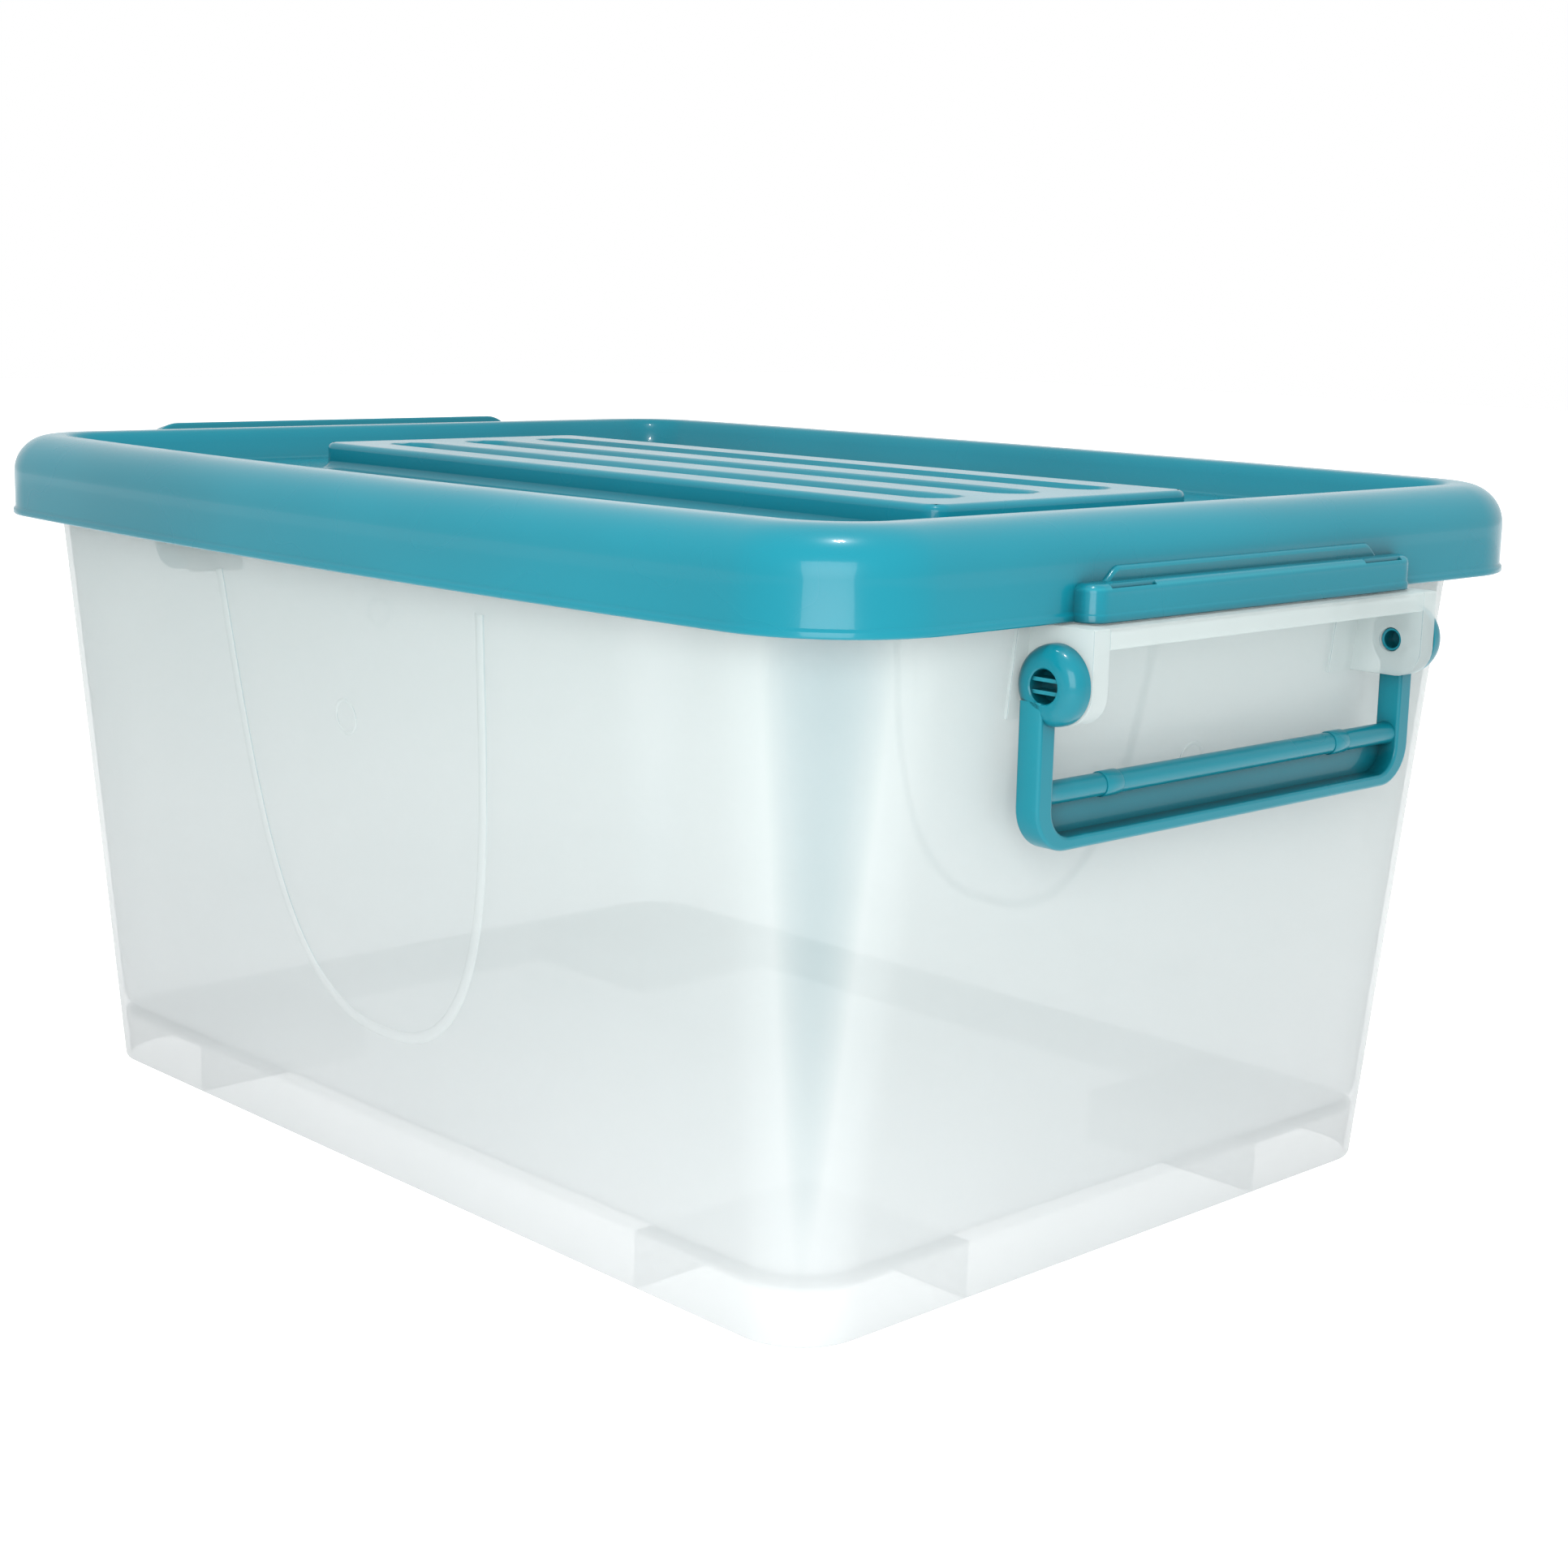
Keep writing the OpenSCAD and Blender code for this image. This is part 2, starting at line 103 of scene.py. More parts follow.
def rounded(length, width, radius):
    """A rounded rectangle with extra points along its sides, so that the sides can bow."""
    x, y = length / 2 - radius, width / 2 - radius
    arcs = [arc_points(x, -y, radius, -90), arc_points(x, y, radius, 0),
            arc_points(-x, y, radius, 90), arc_points(-x, -y, radius, 180)]
    points = []
    for i, arc in enumerate(arcs):
        points += arc
        (ax, ay), (bx, by) = arc[-1], arcs[(i + 1) % 4][0]
        points += [(ax + (bx - ax) * k / SIDE, ay + (by - ay) * k / SIDE) for k in range(1, SIDE)]
    return points


def bow(u):
    """How far along its bow a side is at u, from 1 in the middle to 0 at its ends."""
    return 1 - min(1, abs(u)) ** 2


def ease(t):
    """A soft step from 0 to 1."""
    return t * t * (3 - 2 * t)


def bowed_ring(length, width, radius, z, share):
    """One level of the box: a rounded rectangle whose four sides bow outwards."""
    return [(x * (1 + 2 * END_BOW * share / length * bow(2 * y / width)),
             y * (1 + 2 * SIDE_BOW * share / width * bow(2 * x / length)), z)
            for x, y in rounded(length, width, max(radius, MM))]


def lid_ring(inset, z):
    return bowed_ring(LID_L - 2 * inset, LID_W - 2 * inset, LID_R - inset, z, 1)


def tub_ring(inset, z):
    return bowed_ring(FOOT_L + 2 * SLOPE_L * z - 2 * inset, FOOT_W + 2 * SLOPE_W * z - 2 * inset,
                      FOOT_R + (TUB_R - FOOT_R) * z / EDGE_Z - inset, z, z / TUB_TOP)


def flat_ring(length, width, radius, z):
    return [(x, y, z) for x, y in rounded(length, width, radius)]


def add_skin(bm, rings, first_cap=False, last_cap=False):
    """Quads between rings of equal count, with a flat cap at either end if asked."""
    rows = [[bm.verts.new(p) for p in ring] for ring in rings]
    n = len(rows[0])
    for a, b in zip(rows, rows[1:]):
        for j in range(n):
            k = (j + 1) % n
            bm.faces.new((a[j], a[k], b[k], b[j]))
    if first_cap:
        bm.faces.new(list(reversed(rows[0])))
    if last_cap:
        bm.faces.new(rows[-1])
    return rows


def corner_steps(radius, steps=5):
    """(inset, drop) pairs that round an edge over, from the wall up to the top."""
    angles = [math.radians(90 * i / steps) for i in range(steps + 1)]
    return [(radius * (1 - math.cos(a)), radius * (1 - math.sin(a))) for a in angles]


def finish_mesh(name, bm, body, material, smooth_angle=40, replaces=()):
    """Turns a bmesh into a piece that rides on its body and wears its material."""
    bmesh.ops.recalc_face_normals(bm, faces=bm.faces)
    mesh = bpy.data.meshes.new(name)
    bm.to_mesh(mesh)
    bm.free()
    for face in mesh.polygons:
        face.use_smooth = True
    mesh.set_sharp_from_angle(angle=math.radians(smooth_angle))
    piece = bpy.data.objects.new(name, mesh)
    bpy.context.scene.collection.objects.link(piece)
    mesh.materials.append(material)
    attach(piece, body)
    if replaces:
        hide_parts(*replaces)
    return piece


def plate(bm, outlines, depth, place, bevel=0.4 * MM):
    """A flat plate from closed outlines, holes among them, with rounded edges, put at a matrix."""
    curve = bpy.data.curves.new("plate_sketch", "CURVE")
    curve.dimensions = "2D"
    curve.fill_mode = "BOTH"
    curve.extrude = depth / 2 - bevel
    curve.bevel_depth = bevel
    curve.bevel_resolution = 3
    curve.offset = -bevel
    for outline in outlines:
        spline = curve.splines.new("POLY")
        spline.points.add(len(outline) - 1)
        for point, (x, y) in zip(spline.points, outline):
            point.co = (x, y, 0, 1)
        spline.use_cyclic_u = True
    sketch = bpy.data.objects.new("plate_sketch", curve)
    bpy.context.scene.collection.objects.link(sketch)
    bpy.context.view_layer.update()
    mesh = bpy.data.meshes.new_from_object(sketch.evaluated_get(bpy.context.evaluated_depsgraph_get()))
    mesh.transform(place)
    bm.from_mesh(mesh)
    bpy.data.objects.remove(sketch)
    bpy.data.curves.remove(curve)
    bpy.data.meshes.remove(mesh)


def circle(cx, cy, radius, steps=48):
    return [(cx + radius * math.cos(2 * math.pi * i / steps),
             cy + radius * math.sin(2 * math.pi * i / steps)) for i in range(steps)]


def fillet_outline(points, radii, steps=8):
    """A polygon with each corner rounded by its own radius."""
    out = []
    n = len(points)
    for i in range(n):
        p = Vector(points[i])
        a = (Vector(points[i - 1]) - p).normalized()
        b = (Vector(points[(i + 1) % n]) - p).normalized()
        radius = radii[i]
        if radius <= 0:
            out.append(tuple(p))
            continue
        half = a.angle(b) / 2
        centre = p + (a + b).normalized() * radius / math.sin(half)
        start = p + a * radius / math.tan(half) - centre
        end = p + b * radius / math.tan(half) - centre
        turn = start.angle_signed(end)
        for k in range(steps + 1):
            t = -turn * k / steps
            c, s = math.cos(t), math.sin(t)
            out.append((centre.x + start.x * c - start.y * s, centre.y + start.x * s + start.y * c))
    return out


def swept_tube(bm, path, radius_at, steps=24):
    """A round tube along points, whose radius may change, closed at both ends."""
    rows = []
    for i, p in enumerate(path):
        ahead = Vector(path[min(i + 1, len(path) - 1)]) - Vector(path[max(i - 1, 0)])
        ahead.normalize()
        side = ahead.cross(Vector((1, 0, 0)) if abs(ahead.x) < 0.9 else Vector((0, 0, 1))).normalized()
        up = side.cross(ahead)
        r = radius_at(i / (len(path) - 1))
        rows.append([tuple(Vector(p) + (side * math.cos(2 * math.pi * k / steps)
                                        + up * math.sin(2 * math.pi * k / steps)) * r)
                     for k in range(steps)])
    add_skin(bm, rows, True, True)


def lathe(bm, profile, place, steps=64):
    """A profile of (radius, height) turned about Z, capped on its axis ends, put at a matrix."""
    rows = [[tuple(place @ Vector((r * math.cos(2 * math.pi * k / steps),
                                   r * math.sin(2 * math.pi * k / steps), z)))
             for k in range(steps)] for r, z in profile]
    add_skin(bm, rows, True, True)


# ---------- Materials ----------

class Nodes:
    """A short way to make and join shader nodes in one material."""

    def __init__(self, name):
        self.material = bpy.data.materials.new(name)
        self.material.use_nodes = True
        self.tree = self.material.node_tree
        self.shader = self.tree.nodes["Principled BSDF"]

    def add(self, kind, **values):
        node = self.tree.nodes.new(kind)
        for key, value in values.items():
            if hasattr(node, key):
                setattr(node, key, value)
            else:
                node.inputs[key.replace("_", " ")].default_value = value
        return node

    def join(self, out, into):
        self.tree.links.new(out, into)

    def span(self, value, low, high, start=0.0, end=1.0):
        """Maps a value from low..high to start..end."""
        node = self.add("ShaderNodeMapRange")
        for key, number in (("From Min", low), ("From Max", high), ("To Min", start), ("To Max", end)):
            node.inputs[key].default_value = number
        self.join(value, node.inputs["Value"])
        return node.outputs["Result"]

    def blend(self, share, a, b):
        """A colour between a and b, each a colour or an output."""
        node = self.add("ShaderNodeMix", data_type="RGBA")
        self.join(share, node.inputs["Factor"])
        for socket, colour in ((node.inputs[6], a), (node.inputs[7], b)):
            if isinstance(colour, tuple):
                socket.default_value = (*colour, 1)
            else:
                self.join(colour, socket)
        return node.outputs[2]

    def noise(self, scale, detail=3.0, stretch=(1, 1, 1)):
        place = self.add("ShaderNodeTexCoord")
        shape = self.add("ShaderNodeMapping")
        shape.inputs["Scale"].default_value = stretch
        self.join(place.outputs["Object"], shape.inputs["Vector"])
        node = self.add("ShaderNodeTexNoise")
        node.inputs["Scale"].default_value = scale
        node.inputs["Detail"].default_value = detail
        self.join(shape.outputs["Vector"], node.inputs["Vector"])
        return node.outputs["Fac"]

    def bump(self, height, strength, distance):
        node = self.add("ShaderNodeBump")
        node.inputs["Strength"].default_value = strength
        node.inputs["Distance"].default_value = distance
        self.join(height, node.inputs["Height"])
        self.join(node.outputs["Normal"], self.shader.inputs["Normal"])


def teal_plastic(name, base, edge_tint, rough):
    """Glossy moulded polypropylene: faint flow marks, edges a little paler, an even fine grain, and
    painted shade that darkens its colour in recesses and corners.
    """
    n = Nodes(name)
    flow = n.noise(6, 2, (1, 1, 2))
    deep = tuple(c * 0.88 for c in base)
    tone = n.blend(n.span(flow, 0.35, 0.65), deep, base)
    # Paler along sharp outer edges, where Pointiness is high.
    edges = n.add("ShaderNodeNewGeometry")
    sharp_edge_share = n.span(edges.outputs["Pointiness"], 0.54, 0.66, 0, 0.25)
    tone = n.blend(sharp_edge_share, tone, edge_tint)
    # Painted shade: ambient occlusion darkens the colour down to 0.3 of the base in recesses, corners, the
    # grip channel, bores and notches, where shade falls.
    hollow = n.add("ShaderNodeAmbientOcclusion", samples=6)
    hollow.inputs["Distance"].default_value = 0.016
    tone = n.blend(n.span(hollow.outputs["AO"], 0.35, 0.9), tuple(c * 0.3 for c in base), tone)
    n.join(tone, n.shader.inputs["Base Color"])
    n.join(n.span(n.noise(18, 2), 0.3, 0.7, rough - 0.03, rough + 0.04), n.shader.inputs["Roughness"])
    n.bump(n.noise(420, 1), 0.03, 0.0002)
    n.shader.inputs["IOR"].default_value = 1.49
    n.shader.inputs["Specular IOR Level"].default_value = 0.2
    n.shader.inputs["Coat Weight"].default_value = 0.3
    n.shader.inputs["Coat Roughness"].default_value = 0.06
    return n.material


def milky_plastic(name):
    """Natural polypropylene: milky but see-through and cloudier towards its foot, with painted light and
    shade in its colour: whiter at the foot, darker and greener towards the top, darker where it faces the
    camera.
    """
    n = Nodes(name)
    place = n.add("ShaderNodeTexCoord")
    split = n.add("ShaderNodeSeparateXYZ")
    n.join(place.outputs["Object"], split.inputs["Vector"])
    cloud = n.noise(6, 2, (1, 1, 0.5))
    # Painted light and shade: the colour is painted white at the foot, standing for light from the floor,
    # and darker and greener towards the top, standing for the lid's shade and its teal reflection inside
    # the box.
    height = n.span(split.outputs["Z"], 0.02, 0.27)
    tone = n.blend(height, (0.95, 0.98, 0.985), (0.78, 0.87, 0.86))
    tone = n.blend(n.span(cloud, 0.3, 0.7, 0, 0.15), tone, (0.80, 0.88, 0.88))
    # Painted shade: where the wall faces the camera its colour is painted darker, standing for the dark
    # inside seen through it; the same facing also makes the wall clearer below.
    facing_shade_and_clearness = n.add("ShaderNodeLayerWeight")
    facing_shade_and_clearness.inputs["Blend"].default_value = 0.5
    tone = n.blend(n.span(facing_shade_and_clearness.outputs["Facing"], 0.02, 0.11, 0.95, 0), tone, (0.46, 0.62, 0.65))
    n.join(tone, n.shader.inputs["Base Color"])
    milk = n.add("ShaderNodeMath", operation="ADD")
    n.join(n.span(split.outputs["Z"], 0.0, 0.12, 0.62, 0.46), milk.inputs[0])
    n.join(n.span(facing_shade_and_clearness.outputs["Facing"], 0.0, 0.12, -0.12, 0), milk.inputs[1])
    path = n.add("ShaderNodeLightPath")
    thin = n.add("ShaderNodeMix", data_type="FLOAT")
    n.join(path.outputs["Is Shadow Ray"], thin.inputs["Factor"])
    n.join(milk.outputs[0], thin.inputs[2])
    thin.inputs[3].default_value = 0.1
    n.join(thin.outputs[0], n.shader.inputs["Alpha"])
    n.join(n.span(n.noise(20, 2), 0.3, 0.7, 0.36, 0.46), n.shader.inputs["Roughness"])
    n.bump(n.noise(200, 1), 0.03, 0.0002)
    n.shader.inputs["IOR"].default_value = 1.49
    n.shader.inputs["Specular IOR Level"].default_value = 0.25
    return n.material


LID_TEAL = teal_plastic("lid_teal", (0.004, 0.290, 0.385), (0.05, 0.45, 0.53), 0.26)
HANDLE_TEAL = teal_plastic("handle_teal", (0.004, 0.275, 0.360), (0.04, 0.42, 0.50), 0.30)
CLEAR = milky_plastic("tub_milky")


# ---------- Tub ----------

def end_matrix(end):
    return Matrix.Rotation(math.pi * end, 4, "Z")


def tub_shell(bm):
    """Floor, fillet, wall, rim, flange and skirt as one skin, with every edge rounded."""
    fillet_r, soft = 8 * MM, 0.9 * MM
    flange_z, flange_t = EDGE_Z + 10.5 * MM, 2.4 * MM
    flange_w = OVERHANG - SLOPE_L * (flange_z - EDGE_Z) - 3.2 * MM - 1.2 * MM
    inside = [tub_ring(WALL + fillet_r * (1 - math.sin(a)), FLOOR_H + fillet_r * (1 - math.cos(a)))
              for a in [math.radians(90 * i / 8) for i in range(9)]]
    heights = [FLOOR_H + fillet_r + (TUB_TOP - soft - FLOOR_H - fillet_r) * i / 12 for i in range(1, 13)]
    inside += [tub_ring(WALL, z) for z in heights]
    rim = [tub_ring(WALL - soft * math.sin(a), TUB_TOP - soft * (1 - math.sin(a)) * 1.0)
           for a in [math.radians(v) for v in (45, 90)]]
    rim += [tub_ring(soft * math.sin(a), TUB_TOP - soft * (1 - math.sin(a)))
            for a in [math.radians(v) for v in (90, 45, 0)]]
    flange = [tub_ring(0, flange_z + flange_t), tub_ring(-flange_w + soft, flange_z + flange_t),
              tub_ring(-flange_w, flange_z + flange_t - soft), tub_ring(-flange_w, flange_z + soft),
              tub_ring(-flange_w + soft, flange_z), tub_ring(0, flange_z)]
    outer = [tub_ring(0, flange_z - (flange_z - 1.2 * MM) * i / 14) for i in range(1, 15)]
    foot = [tub_ring(0.35 * MM, 0.35 * MM), tub_ring(1.2 * MM, 0), tub_ring(WALL, 0)]
    under = [tub_ring(WALL, 12 * MM), tub_ring(WALL, FLOOR_H - 2.4 * MM)]
    add_skin(bm, inside + rim + flange + outer + foot + under, True, True)


def box_between(bm, low, high, soft=0.3 * MM):
    """A block between two corners with its edges eased."""
    made = bmesh.ops.create_cube(bm, size=1)
    size = Vector(high) - Vector(low)
    middle = (Vector(high) + Vector(low)) / 2
    for v in made["verts"]:
        v.co = Vector((v.co.x * size.x, v.co.y * size.y, v.co.z * size.z)) + middle
    edges = list({e for v in made["verts"] for e in v.link_edges})
    bmesh.ops.bevel(bm, geom=edges, offset=soft, segments=2, affect="EDGES")


def tub_feet(bm):
    """Square corner feet: two walls each and a second floor inside the corner."""
    foot_x, foot_y = FOOT_L / 2 - FOOT_SIDE, FOOT_W / 2 - FOOT_SIDE
    top = FLOOR_H - 2.5 * MM
    for sx in (-1, 1):
        for sy in (-1, 1):
            xs = sorted((sx * foot_x, sx * (FOOT_L / 2 - 1.2 * MM)))
            ys = sorted((sy * foot_y, sy * (FOOT_W / 2 - 1.2 * MM)))
            thick_x = sorted((sx * foot_x, sx * (foot_x + WALL)))
            thick_y = sorted((sy * foot_y, sy * (foot_y + WALL)))
            box_between(bm, (thick_x[0], ys[0], 0.1 * MM), (thick_x[1], ys[1], top))
            box_between(bm, (xs[0], thick_y[0], 0.1 * MM), (xs[1], thick_y[1], top))
            x1, y1 = abs(foot_x), abs(foot_y)
            x2, y2 = FOOT_L / 2 - WALL, FOOT_W / 2 - WALL
            corner = fillet_outline([(x1, y1), (x2, y1), (x2, y2), (x1, y2)], [0, 0, FOOT_R - WALL, 0])
            outline = [(sx * x, sy * y) for x, y in corner]
            plate(bm, [outline], 2.4 * MM, Matrix.Translation((0, 0, top - 1.4 * MM)), 0.2 * MM)


def wall_x(z, y):
    return FOOT_L / 2 + SLOPE_L * z + END_BOW * z / TUB_TOP * bow(2 * y / (LID_W - 2 * OVERHANG))


def wall_y(z, x):
    length = FOOT_L + 2 * SLOPE_L * z
    width = FOOT_W + 2 * SLOPE_W * z
    return width / 2 + SIDE_BOW * z / TUB_TOP * bow(2 * x / length)


def side_plate(bm, outlines, y0, y1, end, bevel=0.4 * MM):
    """A plate drawn in X and Z, from y0 to y1, at one end of the box."""
    stand = Matrix.Rotation(math.pi / 2, 4, "X")
    place = end_matrix(end) @ Matrix.Translation((0, (y0 + y1) / 2, 0)) @ stand
    plate(bm, outlines, y1 - y0, place, bevel)


def tub_brackets(bm):
    """Ears with pin holes, the ledge over them and the pads where they meet the wall."""
    ledge_t, ledge_lip = 2.4 * MM, 7.9 * MM
    pad_in, pad_out, pad_t = EAR_IN - 15.5 * MM, EAR_OUT + 7 * MM, 1.5 * MM
    root = wall_x(EAR_Z, EAR_OUT) - WALL / 2
    root_top = wall_x(LEDGE_Z, EAR_OUT) - WALL / 2
    ear = fillet_outline([(root, EAR_Z), (EAR_X, EAR_Z), (EAR_X, LEDGE_Z), (root_top, LEDGE_Z)],
                         [0, 12 * MM, 0.8 * MM, 0])
    hole = circle(PIVOT_X, PIVOT_Z, PIN_R + 0.08 * MM)
    pad = [(wall_x(EAR_Z, pad_out) - WALL / 2, EAR_Z), (wall_x(EAR_Z, pad_out) + pad_t, EAR_Z),
           (wall_x(LEDGE_Z, pad_out) + pad_t, LEDGE_Z), (wall_x(LEDGE_Z, pad_out) - WALL / 2, LEDGE_Z)]
    for end in (0, 1):
        for s in (-1, 1):
            ys = sorted((s * EAR_IN, s * EAR_OUT))
            side_plate(bm, [ear, hole], ys[0], ys[1], end)
            ys = sorted((s * pad_in, s * pad_out))
            side_plate(bm, [pad], ys[0], ys[1], end, 0.5 * MM)
        ledge = fillet_outline(
            [(root_top, LEDGE_Z - ledge_t), (EAR_X - ledge_t, LEDGE_Z - ledge_t),
             (EAR_X - ledge_t, LEDGE_Z - ledge_lip), (EAR_X, LEDGE_Z - ledge_lip),
             (EAR_X, LEDGE_Z), (root_top, LEDGE_Z)],
            [0, 1.2 * MM, 0.5 * MM, 0.8 * MM, 1.2 * MM, 0])
        side_plate(bm, [ledge], -EAR_IN, EAR_IN, end, 0.3 * MM)


def wall_bead(bm, points, half, rise):
    """A low rounded bead along points (position, outward), standing on the wall."""
    steps = 6
    rows = []
    for i, (p, out) in enumerate(points):
        ahead = (points[min(i + 1, len(points) - 1)][0] - points[max(i - 1, 0)][0]).normalized()
        side = ahead.cross(out).normalized()
        arch = []
        for k in range(steps + 1):
            a = math.pi * k / steps
            arch.append(tuple(p + side * half * math.cos(a) + out * (rise * math.sin(a) - 0.05 * MM)))
        rows.append(arch)
    grid = [[bm.verts.new(q) for q in row] for row in rows]
    for a, b in zip(grid, grid[1:]):
        for k in range(steps):
            bm.faces.new((a[k], a[k + 1], b[k + 1], b[k]))


def ring_mark(bm, place_at, outward):
    """A small raised ring on a wall, 14 mm across, where the plastic was injected."""
    radius, middle_z, steps = 7 * MM, 208 * MM, 32
    ring = []
    for i in range(steps + 1):
        a = 2 * math.pi * i / steps
        ring.append((place_at(radius * math.cos(a), middle_z + radius * math.sin(a)), outward))
    wall_bead(bm, ring, 0.9 * MM, 0.4 * MM)


def u_mark(bm, side, outward):
    """The U-shaped bead on a long side: upright arms and a round foot."""
    top, low, half_top, shift = 262 * MM, 70 * MM, 94 * MM, 5 * MM
    narrowest, steps = 0.8, 72
    line = []
    for i in range(steps + 1):
        t = math.pi * i / steps
        u = -math.copysign(abs(math.cos(t)) ** 0.8, math.cos(t))
        z = top - (top - low) * math.sin(t) ** 0.5
        narrow = narrowest + (1 - narrowest) * (z - low) / (top - low)
        x = shift + half_top * u * narrow
        line.append((Vector((x, side * wall_y(z, x), z)), outward))
    wall_bead(bm, line, 2.6 * MM, 1 * MM)


def tub_marks(bm):
    """The beads and rings on the tub's four walls."""
    for side in (-1, 1):
        out_y = Vector((0, side, -SLOPE_W)).normalized()
        out_x = Vector((side, 0, -SLOPE_L)).normalized()
        u_mark(bm, side, out_y)
        ring_mark(bm, lambda x, z: Vector((x, side * wall_y(z, x), z)), out_y)
        ring_mark(bm, lambda y, z: Vector((side * wall_x(z, y), y, z)), out_x)


def build_tub():
    bm = bmesh.new()
    tub_shell(bm)
    tub_feet(bm)
    tub_brackets(bm)
    tub_marks(bm)
    return finish_mesh("tub_shell", bm, "tub", CLEAR, 35, ("tub",))


# ---------- Lid ----------

def platform_height(x, y):
    """Depth of the three round-ended grooves below the platform's top, with soft walls."""
    straight = GROOVE_L / 2 - GROOVE_W / 2
    slope = 4.5 * MM
    deepest = 0.0
    for i in (-1, 0, 1):
        dx = max(abs(x) - straight, 0)
        away = math.hypot(dx, y - i * GROOVE_PITCH) - GROOVE_W / 2
        t = min(1, max(0, -away / slope))
        deepest = max(deepest, GROOVE_DEPTH * ease(t))
    return deepest


def grooved_patch(bm, length, width, z, up):
    """A grid over the platform's flat top, pressed down where the grooves are."""
    nx, ny = 220, 96
    grid = []
    for i in range(nx + 1):
        x = -length / 2 + length * i / nx
        grid.append([bm.verts.new((x, y, z - platform_height(x, y)))
                     for y in [-width / 2 + width * j / ny for j in range(ny + 1)]])
    for i in range(nx):
        for j in range(ny):
            quad = (grid[i][j], grid[i + 1][j], grid[i + 1][j + 1], grid[i][j + 1])
            bm.faces.new(quad if up else tuple(reversed(quad)))


def lid_shell(bm):
    """Platform, tray, rim, skirt and lip outside, then the same skin's inner face."""
    lip_out, lip_h = 1 * MM, 3 * MM
    land = lip_out + RIM_R + RIM_LAND
    rim_z = BOX_H - RIM_R
    soft, foot = 3 * MM, 4 * MM
    patch_l, patch_w = PLATFORM_L - 2 * soft - 2 * MM, PLATFORM_W - 2 * soft - 2 * MM
    under_l, under_w = patch_l - 2 * MM, patch_w - 2 * MM
    rings = [flat_ring(patch_l, patch_w, SHARP_R, PLATFORM_TOP)]
    for inset, drop in reversed(corner_steps(soft)):
        rings.append(flat_ring(PLATFORM_L - 2 * inset, PLATFORM_W - 2 * inset,
                               PLATFORM_R - inset, PLATFORM_TOP - drop))
    for spread, rise in corner_steps(foot):
        rings.append(flat_ring(PLATFORM_L + 2 * spread, PLATFORM_W + 2 * spread,
                               PLATFORM_R + spread, TRAY_Z + rise))
    wall_in = land + 7 * MM
    rings += [lid_ring(wall_in + 12 * MM, TRAY_Z), lid_ring(wall_in + 3 * MM, TRAY_Z),
              lid_ring(wall_in + 1.4 * MM, TRAY_Z + 0.3 * MM), lid_ring(wall_in, TRAY_Z + 1.5 * MM),
              lid_ring(land + 5 * MM, BOX_H - 6 * MM), lid_ring(land + 4 * MM, BOX_H - 3.5 * MM),
              lid_ring(land + 3.1 * MM, BOX_H - 1.6 * MM), lid_ring(land + 2 * MM, BOX_H - 0.6 * MM),
              lid_ring(land + 0.8 * MM, BOX_H - 0.1 * MM), lid_ring(land - 0.6 * MM, BOX_H)]
    for i in range(19):
        a = math.radians(90 - 5 * i)
        rings.append(lid_ring(lip_out + RIM_R - RIM_R * math.cos(a), rim_z + RIM_R * math.sin(a)))
    rings += [lid_ring(lip_out, EDGE_Z + lip_h + 0.9 * MM),
              lid_ring(lip_out * 0.75, EDGE_Z + lip_h + 0.2 * MM),
              lid_ring(0.2 * MM, EDGE_Z + lip_h - 0.4 * MM), lid_ring(0, EDGE_Z + lip_h - 1 * MM),
              lid_ring(0, EDGE_Z + 0.5 * MM), lid_ring(0.5 * MM, EDGE_Z), lid_ring(LID_WALL, EDGE_Z),
              lid_ring(lip_out + LID_WALL, EDGE_Z + lip_h)]
    inner_r = RIM_R - LID_WALL
    for i in range(10):
        a = math.radians(10 * i)
        rings.append(lid_ring(lip_out + RIM_R - inner_r * math.cos(a), rim_z + inner_r * math.sin(a)))
    rings += [lid_ring(land, BOX_H - LID_WALL), lid_ring(land + 2 * MM, BOX_H - 4.5 * MM),
              lid_ring(wall_in - LID_WALL, TRAY_Z), lid_ring(wall_in + MM, TRAY_Z - LID_WALL)]
    hollow_l, hollow_w, hollow_r = PLATFORM_L - 2 * LID_WALL, PLATFORM_W - 2 * LID_WALL, 7 * MM
    rings += [flat_ring(hollow_l, hollow_w, hollow_r, TRAY_Z - LID_WALL),
              flat_ring(hollow_l, hollow_w, hollow_r, PLATFORM_TOP - LID_WALL - MM),
              flat_ring(under_l, under_w, SHARP_R, PLATFORM_TOP - LID_WALL)]
    add_skin(bm, rings)
    grooved_patch(bm, patch_l, patch_w, PLATFORM_TOP, True)
    grooved_patch(bm, under_l, under_w, PLATFORM_TOP - LID_WALL, False)


def lug_ring(grow, z, end, notched=False):
    """One level of a lug: a rounded outline from inside the rim out to the lug's front."""
    back = LID_L / 2 - 1.6 * MM
    front = LID_L / 2 + LUG_OUT + grow
    half = LUG_W / 2 + grow
    corner = max(7 * MM + grow, MM)
    notch_x = LID_L / 2 + LUG_OUT - NOTCH_D
    steps = 10
    pts = [(back, -half)]
    pts += arc_points(front - corner, -half + corner, corner, -90, steps)
    for side in (-1, 1):
        low, high = sorted((side * (NOTCH_Y - NOTCH_W / 2), side * (NOTCH_Y + NOTCH_W / 2)))
        cut_x = notch_x if notched else front
        pts += [(front, low - 0.2 * MM), (cut_x, low), (cut_x, high), (front, high + 0.2 * MM)]
    pts += arc_points(front - corner, half - corner, corner, 0, steps)
    pts += [(back, half)]
    spin = end_matrix(end)
    return [tuple(spin @ Vector((x, y, z))) for x, y in pts]


